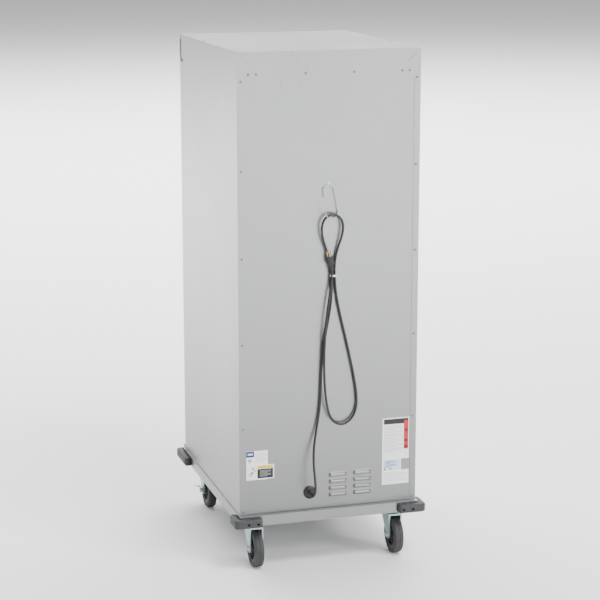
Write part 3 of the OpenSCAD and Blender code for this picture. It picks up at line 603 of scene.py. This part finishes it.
def rear_sheet():
    """Flat rear panel with two columns of louvres pressed out of it, open below."""
    low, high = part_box("rear_panel")
    fine_low, fine_high = (-0.160, 0.222), (0.010, 0.326)
    step = 0.001
    columns = round((fine_high[0] - fine_low[0]) / step)
    rows = round((fine_high[1] - fine_low[1]) / step)
    source = bmesh.new()
    grid = []
    for j in range(rows + 1):
        line = []
        for i in range(columns + 1):
            x, z = fine_low[0] + i * step, fine_low[1] + j * step
            line.append(source.verts.new((x, rear_face + louvre_height(x, z), z)))
        grid.append(line)
    for j in range(rows):
        for i in range(columns):
            face = (grid[j][i + 1], grid[j][i], grid[j + 1][i], grid[j + 1][i + 1])
            if max(v.co.y for v in face) - min(v.co.y for v in face) < 0.004:
                source.faces.new(face)
    around = [
        ((low.x, low.z), (high.x, fine_low[1])), ((low.x, fine_high[1]), (high.x, high.z)),
        ((low.x, fine_low[1]), (fine_low[0], fine_high[1])),
        ((fine_high[0], fine_low[1]), (high.x, fine_high[1])),
    ]
    for a, b in around:
        corners = [(b[0], a[1]), (a[0], a[1]), (a[0], b[1]), (b[0], b[1])]
        source.faces.new([source.verts.new((x, rear_face, z)) for x, z in corners])
    sheet = piece("rear_sheet", source, "cabinet", "brushed_panel")
    solid = sheet.modifiers.new("thickness", "SOLIDIFY")
    solid.thickness = 0.0012
    solid.offset = -1
    split = sheet.modifiers.new("crisp", "EDGE_SPLIT")
    split.split_angle = math.radians(50)
    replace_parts(sheet, "rear_panel")


# ---- Labels: plain blocks of colour ----

def flat_shape(name, corners, lift, slot):
    """A thin plate on the rear face, from its corners in millimetres (x, z)."""
    source = bmesh.new()
    near = [source.verts.new((x * MM, rear_face + lift, z * MM)) for x, z in corners]
    far = [source.verts.new((x * MM, rear_face, z * MM)) for x, z in corners]
    source.faces.new(near)
    for k in range(len(corners)):
        n = (k + 1) % len(corners)
        source.faces.new((near[k], far[k], far[n], near[n]))
    bmesh.ops.recalc_face_normals(source, faces=source.faces)
    shape = piece(name, source, "cabinet", slot)
    shape.data.shade_flat()
    return shape


def block(name, x, z, lift, slot):
    return flat_shape(name, [(x[0], z[0]), (x[1], z[0]), (x[1], z[1]), (x[0], z[1])], lift, slot)


def ruled_lines(name, x, z, count, lift, slot, thickness=1.0, short=0.7):
    """Rows of plain bars that stand for print."""
    source = bmesh.new()
    for i in range(count):
        middle = z[0] + (z[1] - z[0]) * (i + 0.5) / count
        right = x[0] + (x[1] - x[0]) * (1 if i % 3 else short)
        plate(
            source, (x[0] * MM, rear_face, (middle - thickness / 2) * MM),
            (right * MM, rear_face + lift, (middle + thickness / 2) * MM),
        )
    shape = piece(name, source, "cabinet", slot)
    shape.data.shade_flat()
    return shape


def tall_label():
    base = flat_shape("tall_label", [
        (-190, 255), (-190, 489), (-286, 489), (-286, 343), (-258, 343), (-258, 304),
        (-286, 304), (-286, 255),
    ], 0.0003, "label_film")
    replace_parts(base, "label_plates")
    block("tall_label_header", (-195, -283), (467, 485), 0.0004, "ink_dark")
    block("tall_label_column", (-267, -283), (377, 478), 0.0005, "ink_red")
    block("tall_label_patch", (-196, -254), (307, 342), 0.0004, "ink_pale_blue")
    for i, low in enumerate((438, 402, 380)):
        block(f"tall_label_band_{i + 1}", (-269, -281), (low, low + 10), 0.0006, "ink_dark_red")
    for i, x in enumerate((-197, -218)):
        block(f"tall_label_mark_{i + 1}", (x, x - 5), (306, 312), 0.0005, "ink_dark")
    ruled_lines("tall_label_lines", (-196, -262), (368, 462), 18, 0.0004, "ink_grey", 1.4)
    ruled_lines("tall_label_foot_lines", (-196, -280), (260, 300), 7, 0.0004, "ink_grey", 1.0, 0.4)
    ruled_lines("tall_label_patch_lines", (-199, -240), (314, 339), 6, 0.0005, "ink_blue", 1.6, 0.5)


def small_label():
    base = block("small_label", (286, 212), (314, 415), 0.0003, "label_film")
    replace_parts(base, "label_plates")
    block("small_label_corner", (286, 259), (394, 414), 0.0004, "ink_blue")
    block("small_label_corner_mark", (281, 264), (401, 407), 0.0005, "ink_pale_blue")
    ruled_lines("small_label_lines", (254, 216), (372, 408), 6, 0.0004, "ink_grey", 1.2)
    ruled_lines("small_label_note", (280, 268), (376, 388), 2, 0.0004, "ink_dark", 3.0, 1.0)
    for i, (foot, tip) in enumerate([((266, 358), (252, 340)), ((264, 343), (280, 331)),
                                     ((264, 340), (272, 325))]):
        along = (Vector(tip) - Vector(foot)).normalized() * 1.6
        side = Vector((-along.y, along.x))
        corners = [Vector(foot) + side, Vector(tip) + side / 2, Vector(tip) - side / 2,
                   Vector(foot) - side]
        flat_shape(f"small_label_stroke_{i + 1}", [tuple(c) for c in corners], 0.0004, "ink_dark")
    block("notice_label", (249, 190), (316, 365), 0.0005, "label_film")
    block("notice_label_band", (248, 195), (352, 362), 0.0006, "ink_yellow")
    block("notice_label_panel", (248, 194), (319, 351), 0.0006, "ink_dark")
    ruled_lines("notice_label_lines", (240, 201), (324, 347), 6, 0.0007, "ink_grey", 1.2)


# ---- Fasteners ----

def upright(at, axis):
    """Placement that turns +Z onto an axis, at a point."""
    return Matrix.Translation(at) @ Vector((0, 0, 1)).rotation_difference(axis).to_matrix().to_4x4()


def turned(source, profile, at, axis, steps=32):
    """Adds a turned solid that stands on a point along any axis."""
    start = len(source.verts)
    lathe(source, profile, (0, 0, 0), steps=steps)
    source.verts.ensure_lookup_table()
    bmesh.ops.transform(source, matrix=upright(at, Vector(axis)), verts=source.verts[start:])


RIVET = [(0.0041, 0.0), (0.0041, 0.0003), (0.0037, 0.0009), (0.0028, 0.0014), (0.0014, 0.0017),
         (0.0005, 0.00172)]


def screw_head(source, at, axis, radius=0.0036, height=0.0022):
    """Pan head with a cross recess."""
    start = len(source.verts)
    steps, rings = 40, 9
    centre = None
    lines = []
    for j in range(rings + 1):
        part = j / rings
        line = []
        for k in range(steps):
            angle = 2 * math.pi * k / steps
            x, y = radius * part * math.cos(angle), radius * part * math.sin(angle)
            z = height * math.sqrt(max(0.0, 1 - 0.85 * part ** 2))
            if min(abs(x), abs(y)) < 0.16 * radius and part < 0.62:
                z -= 0.55 * height
            line.append(source.verts.new((x, y, z if j < rings else 0)))
            if j == 0:
                centre = line[0]
                break
        lines.append(line)
    for k in range(steps):
        source.faces.new((centre, lines[1][k], lines[1][(k + 1) % steps]))
    for low, high in zip(lines[1:], lines[2:]):
        for k in range(steps):
            n = (k + 1) % steps
            source.faces.new((low[k], high[k], high[n], low[n]))
    source.verts.ensure_lookup_table()
    bmesh.ops.transform(source, matrix=upright(at, Vector(axis)), verts=source.verts[start:])


def rivets():
    """Heads up both rear seams, along the strip under the top, and along the top's edges."""
    seam_x, strip_z = side_x - 0.013, top_z - 0.072
    first, pitch = 0.2055, 0.286
    source = bmesh.new()
    for side in (-1, 1):
        for i in range(6):
            turned(source, RIVET, (side * seam_x, end_y, first + pitch * i), (0, 1, 0))
        for x in (0.082, 0.246, 0.2715):
            turned(source, RIVET, (side * x, end_y, strip_z), (0, 1, 0))
        for y in (-0.290, -0.080, 0.130, 0.340):
            turned(source, RIVET, (side * (side_x - 0.012), y, top_z), (0, 0, 1))
    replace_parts(piece("rivet_heads", source, "cabinet", "rivet_steel"), "body_fasteners")


def hook_screw():
    source = bmesh.new()
    at = Vector((0.004, rear_face, 1.298))
    turned(source, [(0.0062, 0), (0.0062, 0.0011), (0.0058, 0.0013)], at, (0, 1, 0))
    screw_head(source, at + Vector((0, 0.0013, 0)), (0, 1, 0), 0.0044, 0.0026)
    piece("hook_screw", source, "cabinet", "zinc_plate")


# ---- Corner bumpers ----

base_low, base_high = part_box("base_frame")
bumper_low, bumper_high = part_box("corner_bumpers")
bumper_middle = bumper_low.z + 0.013
WELL = [(0.0044, 0), (0.0044, 0.020)]   # screw well: radius and depth
well_floor = 0.010                      # how far a well's floor stands off the base
rear_screws = (0.025, 0.058)
front_screws = (0.020, 0.045)
side_screws = {1: (0.395, 0.365), -1: (-0.395, -0.310)}


def arc(centre, radius, start, end, steps=8):
    spots = []
    for k in range(steps + 1):
        angle = math.radians(start + (end - start) * k / steps)
        spots.append((centre[0] + radius * math.cos(angle), centre[1] + radius * math.sin(angle)))
    return spots


def bumper(name, sx, sy, legs):
    """Moulded L round a corner of the base, bull-nosed, with two screw wells a side."""
    out = bumper_high.x - base_high.x
    nose, end = 0.014, 0.012
    outline = [(0, 0), (-legs[0], 0)]
    outline += arc((-legs[0] + end, out - end), end, 180, 90)
    outline += arc((out - nose, out - nose), nose, 90, 0)
    outline += arc((out - end, -legs[1] + end), end, 0, -90)
    outline += [(0, -legs[1])]
    source = bmesh.new()
    corner = Vector((base_high.x, base_high.y))
    spots = [(sx * (corner.x + x), sy * (corner.y + y)) for x, y in outline]
    floor = [source.verts.new((x, y, bumper_low.z)) for x, y in spots]
    face = source.faces.new(floor)
    lifted = bmesh.ops.extrude_face_region(source, geom=[face])["geom"]
    bmesh.ops.translate(
        source, vec=(0, 0, bumper_high.z - bumper_low.z),
        verts=[v for v in lifted if isinstance(v, bmesh.types.BMVert)],
    )
    bmesh.ops.recalc_face_normals(source, faces=source.faces)
    moulding = piece(name, source, "cabinet", "bumper_plastic")
    round_over = soften(moulding, 0.006, 5, 50)
    round_over.modifiers["edge"].harden_normals = False
    wells = bmesh.new()
    screws = bmesh.new()
    for x in rear_screws if sy > 0 else front_screws:
        at = Vector((sx * (base_high.x - x), sy * (base_high.y + well_floor), bumper_middle))
        turned(wells, WELL, at, (0, sy, 0))
        screw_head(screws, at, (0, sy, 0))
    for y in side_screws[sy]:
        at = Vector((sx * (base_high.x + well_floor), y, bumper_middle))
        turned(wells, WELL, at, (sx, 0, 0))
        screw_head(screws, at, (sx, 0, 0))
    data = bpy.data.meshes.new(name + "_wells")
    wells.to_mesh(data)
    wells.free()
    cutter = bpy.data.objects.new(name + "_wells", data)
    bpy.context.scene.collection.objects.link(cutter)
    cut = moulding.modifiers.new("wells", "BOOLEAN")
    cut.object = cutter
    cut.operation = "DIFFERENCE"
    bpy.context.view_layer.update()
    seen = moulding.evaluated_get(bpy.context.evaluated_depsgraph_get())
    finished = bpy.data.meshes.new_from_object(seen)
    moulding.modifiers.clear()
    moulding.data = finished
    finished.set_sharp_from_angle(angle=math.radians(40))
    bpy.data.objects.remove(cutter)
    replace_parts(moulding, "corner_bumpers")
    piece(name + "_screws", screws, "cabinet", "zinc_plate")


# ---- Casters ----

WHEELS = [f"{end}_{side}" for end in ("rear", "front") for side in ("right", "left")]
swivel_x, swivel_y = 0.247, 0.325


def hexagon(source, at, radius, height):
    """Adds a hanging six-sided bolt head with its washer above."""
    turned(source, [(radius, 0), (radius, height)], at, (0, 0, 1), 6)
    washer = Vector(at) + Vector((0, 0, height))
    turned(source, [(radius * 1.35, 0), (radius * 1.35, 0.0012)], washer, (0, 0, 1), 32)


def caster_fittings():
    """Raceway lip and the four bolt heads of every caster plate."""
    raceways = bmesh.new()
    bolts = bmesh.new()
    plate_low = base_low.z - 0.004
    for sx in (-1, 1):
        for sy in (-1, 1):
            x, y = sx * swivel_x, sy * swivel_y
            turned(
                raceways, [(0.0325, 0), (0.0352, 0.0012), (0.0352, 0.003), (0.0325, 0.0042)],
                (x, y, plate_low - 0.0085), (0, 0, 1), 64,
            )
            for dx in (-0.038, 0.038):
                for dy in (-0.032, 0.032):
                    hexagon(bolts, (x + dx, y + dy, plate_low - 0.006), 0.0065, 0.0048)
    piece("caster_raceways", raceways, "cabinet", "caster_zinc")
    soften(piece("caster_bolts", bolts, "cabinet", "zinc_plate"), 0.0005)


def turned_ring(source, profile, start, steps):
    """Adds a closed turned ring on an axis along X: profile is (radius, reach) from a point."""
    rings = []
    for radius, reach in profile:
        ring = []
        for k in range(steps):
            angle = 2 * math.pi * k / steps
            across = Vector((reach, radius * math.cos(angle), radius * math.sin(angle)))
            ring.append(source.verts.new(start + across))
        rings.append(ring)
    for low, high in zip(rings, rings[1:] + rings[:1]):
        for k in range(steps):
            n = (k + 1) % steps
            source.faces.new((low[k], low[n], high[n], high[k]))
    bmesh.ops.recalc_face_normals(source, faces=source.faces)


def wheel_parts(wheel):
    """Grooved tyre and the ribs in the dished sides of the hub."""
    low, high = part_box(f"{wheel}_tyre")
    hub_half = (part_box(f"{wheel}_hub")[1].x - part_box(f"{wheel}_hub")[0].x) / 2
    centre = (low + high) / 2
    radius, width = (high.z - low.z) / 2, high.x - low.x
    seat, shoulder, groove = 0.047, 0.005, 0.0012
    half_profile = [
        (seat, 0), (radius - shoulder - 0.003, 0), (radius - shoulder - 0.002, 0.0008),
        (radius - shoulder, 0.0008), (radius - 0.0015, 0.002), (radius, shoulder),
        (radius, width / 2 - 2 * groove), (radius - groove, width / 2 - groove),
    ]
    mirrored = [(r, width - reach) for r, reach in reversed(half_profile)]
    tread = bmesh.new()
    turned_ring(tread, half_profile + mirrored, Vector((low.x, centre.y, centre.z)), 96)
    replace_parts(piece(f"{wheel}_tread", tread, f"{wheel}_wheel", "tyre_grey"), f"{wheel}_tyre")
    ribs = bmesh.new()
    for side in (-1, 1):
        near, far = sorted((side * 0.0048, side * (hub_half - 0.005)))
        for k in range(6):
            begin = len(ribs.verts)
            plate(ribs, (near, 0.0135, -0.0015), (far, 0.0385, 0.0015))
            ribs.verts.ensure_lookup_table()
            place = Matrix.Translation(centre) @ Matrix.Rotation(math.radians(60 * k), 4, "X")
            bmesh.ops.transform(ribs, matrix=place, verts=ribs.verts[begin:])
    soften(piece(f"{wheel}_ribs", ribs, f"{wheel}_wheel", "hub_grey"), 0.0006)


# ---- Front: controls and door ----

control_z = sum(v.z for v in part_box("temperature_knob")) / 2


def front_bar(source, x, z, lift, y=fascia_y):
    """Adds a thin bar on a front face, from one side and height to another."""
    plate(source, (min(x), y - lift, min(z)), (max(x), y + 0.0002, max(z)))


def dial(node, name):
    """Pointer line on a knob, and a ring of plain ticks round it on the fascia."""
    low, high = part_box(node)
    x = (low.x + high.x) / 2
    pointer = bmesh.new()
    reach = (control_z + 0.002, control_z + 0.0122)
    front_bar(pointer, (x - 0.0009, x + 0.0009), reach, 0.0004, low.y)
    piece(name + "_pointer", pointer, node, "white_plastic")
    ticks = bmesh.new()
    for k in range(11):
        begin = len(ticks.verts)
        long = 0.0262 if k % 5 == 0 else 0.0245
        plate(ticks, (-0.0004, -0.0003, 0.0215), (0.0004, 0.0001, long))
        ticks.verts.ensure_lookup_table()
        place = Matrix.Translation((x, fascia_y, control_z))
        place = place @ Matrix.Rotation(math.radians(27 * k), 4, "Y")
        bmesh.ops.transform(ticks, matrix=place, verts=ticks.verts[begin:])
    piece(name + "_ticks", ticks, "cabinet", "ink_grey")


def display():
    """Two figures made of lit bars behind the display window, and a bezel round it."""
    low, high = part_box("indicator_lenses")
    middle_x = high.x - 0.030
    front = fascia_y - 0.0006
    bars = bmesh.new()
    for figure_x in (middle_x - 0.009, middle_x + 0.009):
        for z in (-0.008, 0.0, 0.008):
            front_bar(bars, (figure_x - 0.0034, figure_x + 0.0034),
                      (control_z + z - 0.0007, control_z + z + 0.0007), 0.0002, front)
        for x in (-0.0045, 0.0045):
            for z in (-0.0066, 0.0014):
                front_bar(bars, (figure_x + x - 0.0007, figure_x + x + 0.0007),
                          (control_z + z, control_z + z + 0.0052), 0.0002, front)
    piece("display_bars", bars, "cabinet", "ink_pale_blue")
    bezel = bmesh.new()
    frame_bars(bezel, (middle_x - 0.033, control_z - 0.017), (middle_x + 0.033, control_z + 0.017),
               0.003, (fascia_y - 0.0015, fascia_y + 0.0002))
    soften(piece("display_bezel", bezel, "cabinet", "black_plastic"), 0.0005)


def frame_bars(source, low, high, width, y):
    """Adds a rectangular frame of four bars, standing between two depths."""
    plate(source, (low[0], y[0], low[1]), (high[0], y[1], low[1] + width))
    plate(source, (low[0], y[0], high[1] - width), (high[0], y[1], high[1]))
    plate(source, (low[0], y[0], low[1] + width), (low[0] + width, y[1], high[1] - width))
    plate(source, (high[0] - width, y[0], low[1] + width), (high[0], y[1], high[1] - width))


def glazing_bead():
    """Rubber bead round both faces of the door's window."""
    low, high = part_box("door_window")
    lap, width, depth = 0.007, 0.006, 0.005
    bead = bmesh.new()
    for y in ((low.y - depth, low.y), (high.y, high.y + depth)):
        frame_bars(bead, (low.x + lap, low.z + lap), (high.x - lap, high.z - lap), width, y)
    soften(piece("glazing_bead", bead, "door", "gasket_rubber"), 0.0015)


hook()
strain_relief()
rear_sheet()
tall_label()
small_label()
rivets()
hook_screw()
for side, sx in (("right", 1), ("left", -1)):
    bumper(f"rear_{side}_bumper", sx, 1, (0.075, 0.060))
    bumper(f"front_{side}_bumper", sx, -1, (0.060, 0.128))
caster_fittings()
for wheel in WHEELS:
    wheel_parts(wheel)
dial("temperature_knob", "temperature")
dial("humidity_knob", "humidity")
display()
glazing_bead()

for name, width in {
    "side_panel_right": 0.0009, "side_panel_left": 0.0009, "top_panel": 0.0009,
    "base_frame": 0.002, "front_frame": 0.001, "door_frame": 0.0015,
    "control_fascia": 0.0015, "door_pull": 0.001, "water_pan": 0.0005, "heater_module": 0.0008,
    "rack_uprights": 0.0008, "pan_slides": 0.0004, "hinge_brackets": 0.0012, "caster_plates": 0.0006,
    "magnet_catches": 0.001, "electrical_parts": 0.0006, "blower_motor": 0.0015,
}.items():
    soften(frame["nodes"][name], width)
for name, node in frame["nodes"].items():
    if name.endswith(("_fork", "_axle", "_hub", "_brake", "_knob")):
        soften(node, 0.0008)


# ---- Stage ----

def pale_floor(size, color):
    data = bpy.data.meshes.new("floor")
    source = bmesh.new()
    bmesh.ops.create_grid(source, x_segments=1, y_segments=1, size=size)
    source.to_mesh(data)
    source.free()
    thing = bpy.data.objects.new("floor", data)
    bpy.context.scene.collection.objects.link(thing)
    data.materials.append(Look("floor", color, 0.9).material)


def area_light(name, at, target, size, power):
    """A rectangular light that faces a target."""
    data = bpy.data.lights.new(name, "AREA")
    data.shape = "RECTANGLE"
    data.size, data.size_y = size
    data.energy = power
    lamp = bpy.data.objects.new(name, data)
    lamp.location = at
    lamp.rotation_euler = (Vector(target) - Vector(at)).to_track_quat("-Z", "Y").to_euler()
    bpy.context.scene.collection.objects.link(lamp)


def studio_world(horizon, zenith):
    """Soft white surround, brightest at the horizon."""
    world = bpy.data.worlds.new("studio")
    world.use_nodes = True
    tree = world.node_tree
    place = tree.nodes.new("ShaderNodeTexCoord")
    axes = tree.nodes.new("ShaderNodeSeparateXYZ")
    fade = tree.nodes.new("ShaderNodeMapRange")
    fade.inputs["From Max"].default_value = 0.7
    fade.inputs["To Min"].default_value = horizon
    fade.inputs["To Max"].default_value = zenith
    tree.links.new(place.outputs["Generated"], axes.inputs["Vector"])
    tree.links.new(axes.outputs["Z"], fade.inputs["Value"])
    tree.links.new(fade.outputs["Result"], tree.nodes["Background"].inputs["Strength"])
    tree.nodes["Background"].inputs["Color"].default_value = (1, 1, 1, 1)
    bpy.context.scene.world = world


pale_floor(90, (0.94, 0.94, 0.94))
area_light("key", (-4.6, 5.0, 3.6), (0, 0, 1.0), (1.4, 1.4), 260)
area_light("overhead", (-1.0, 3.2, 5.6), (0, 0.4, 0.3), (2.2, 1.6), 260)
area_light("bounce", (-3.0, 9.5, 4.0), (-3.0, 9.5, 0), (5.0, 4.0), 700)
area_light("background", (-2.0, -9.0, 7.0), (-2.0, -9.0, 0), (16.0, 12.0), 4500)
studio_world(horizon=0.9, zenith=0.5)
